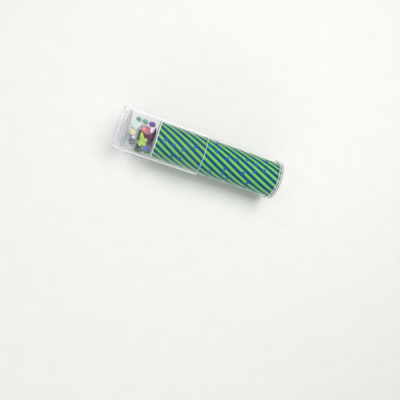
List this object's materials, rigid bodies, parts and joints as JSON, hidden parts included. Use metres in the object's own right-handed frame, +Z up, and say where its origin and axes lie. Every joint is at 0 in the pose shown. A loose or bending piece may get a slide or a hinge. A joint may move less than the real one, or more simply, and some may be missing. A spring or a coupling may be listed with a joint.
{
  "type": "kaleidoscope",
  "caption": "Clear-cased toy kaleidoscope: a striped tube with a mirror prism and an eyepiece, and a turning clear sleeve of loose coloured charms.",
  "frame": {"origin": "bottom centre of the object's box, under the middle of the tube as it lies on its side", "axes": "+X along the optical axis towards the eyepiece, +Z up, +Y to the back as the tube lies on its side"},
  "size_m": [0.17, 0.042, 0.042],
  "materials": {
    "clear_plastic": "clear polished polystyrene",
    "frosted_plastic": "frosted on both faces",
    "striped_paper": "green and blue diagonal stripes with small blue stars, coated",
    "mirror": "silvered plastic strip, polished",
    "eva_foam": "closed-cell foam",
    "clear_tape": "clear adhesive tape",
    "white_card": "matt white card",
    "glass_teal": "cut transparent plastic",
    "glass_amber": "transparent glass bead",
    "glass_blue": "transparent glass bead",
    "glass_clear": "clear plastic",
    "glass_green": "transparent glass bead",
    "glass_rose": "cut transparent plastic",
    "glass_ruby": "transparent plastic",
    "glass_smoke": "smoky transparent plastic",
    "glass_violet": "cut transparent plastic",
    "foil_yellow": "pearly sequin film",
    "foil_silver": "metallised sequin film",
    "pearl": "pearl lacquer",
    "opaque_mint": "moulded plastic",
    "opaque_white": "moulded plastic",
    "opaque_lilac": "moulded plastic",
    "opaque_orange": "moulded plastic",
    "opaque_lime": "moulded plastic",
    "opaque_ink": "moulded plastic",
    "opaque_green": "moulded plastic",
    "opaque_blue": "moulded plastic",
    "opaque_plum": "moulded plastic",
    "foil_pink": "foiled plastic",
    "foil_mint": "pearly sequin film",
    "glass_mint": "transparent glass bead",
    "glass_plum": "transparent plastic",
    "opaque_charcoal": "moulded plastic",
    "opaque_slate": "moulded plastic",
    "opaque_magenta": "moulded plastic",
    "opaque_periwinkle": "moulded plastic",
    "opaque_yellow": "moulded plastic",
    "opaque_teal": "moulded plastic"
  },
  "bodies": {
    "tube": {"body_tube": "clear_plastic", "window_cap": "clear_plastic", "striped_wrap": "striped_paper", "mirror_bottom": "mirror", "mirror_front": "mirror", "mirror_back": "mirror", "tape_band_chamber_end": "clear_tape", "tape_band_middle": "clear_tape", "tape_band_eye_end": "clear_tape", "centring_ring_chamber_end": "eva_foam", "centring_ring_eye_end": "eva_foam"},
    "eyepiece": {"eyepiece_cap": "clear_plastic", "lens_disc": "clear_plastic", "eye_disc": "white_card"},
    "charms_rear": {"charm_lime_leaf": "opaque_lime", "charm_rose_heart": "glass_rose", "charm_ruby_gem": "glass_ruby", "charm_teal_gem": "glass_teal", "charm_violet_gem": "glass_violet", "charm_pink_flower": "foil_pink", "charm_plum_heart": "opaque_plum", "charm_plum_blade": "glass_plum", "charm_magenta_star": "opaque_magenta", "charm_periwinkle_flower": "opaque_periwinkle", "charm_green_bugle": "glass_green", "charm_ink_bugle": "opaque_ink", "charm_ink_bead": "opaque_ink", "charm_charcoal_bead": "opaque_charcoal", "charm_slate_bead": "opaque_slate", "charm_silver_sequin": "foil_silver", "charm_green_flower": "opaque_green", "charm_blue_star": "opaque_blue", "charm_plum_flower": "opaque_plum", "charm_amber_bead": "glass_amber", "charm_orange_heart": "opaque_orange", "charm_white_flower": "opaque_white", "charm_blue_bead": "glass_blue", "charm_yellow_star": "opaque_yellow", "charm_rose_bead": "glass_rose", "charm_blue_flower": "opaque_blue"},
    "charm_chamber": {"chamber_sleeve": "clear_plastic"},
    "end_plug": {"end_plug": "clear_plastic", "diffuser_disc": "frosted_plastic"},
    "charms_front": {"charm_teal_flower": "opaque_teal", "charm_mint_flower": "opaque_mint", "charm_mint_sequin": "foil_mint", "charm_yellow_sequin": "foil_yellow", "charm_pearl_bead": "pearl", "charm_smoke_ring": "glass_smoke", "charm_clear_bugle": "glass_clear", "charm_clear_star": "glass_clear", "charm_clear_chip": "glass_clear", "charm_white_star": "opaque_white", "charm_mint_bead": "glass_mint", "charm_lilac_flower": "opaque_lilac", "charm_white_heart": "opaque_white", "charm_clear_bead": "glass_clear"}
  },
  "joints": [
    {"name": "sleeve_slide", "type": "slide", "parent": "tube", "child": "charms_rear", "axis": [-1, 0, 0], "range_m": [0, 0.055]},
    {"name": "sleeve_turn", "type": "hinge", "parent": "charms_rear", "child": "charm_chamber", "pos_m": [-0.025, 0, 0.021], "axis": [1, 0, 0], "continuous": true},
    {"name": "charms_front_tumble", "type": "hinge", "parent": "charm_chamber", "child": "charms_front", "pos_m": [-0.0712, 0, 0.021], "axis": [1, 0, 0], "continuous": true},
    {"name": "end_plug_pull", "type": "slide", "parent": "charm_chamber", "child": "end_plug", "axis": [-1, 0, 0], "range_m": [0, 0.02]},
    {"name": "eyepiece_pull", "type": "slide", "parent": "tube", "child": "eyepiece", "axis": [1, 0, 0], "range_m": [0, 0.02]}
  ]
}
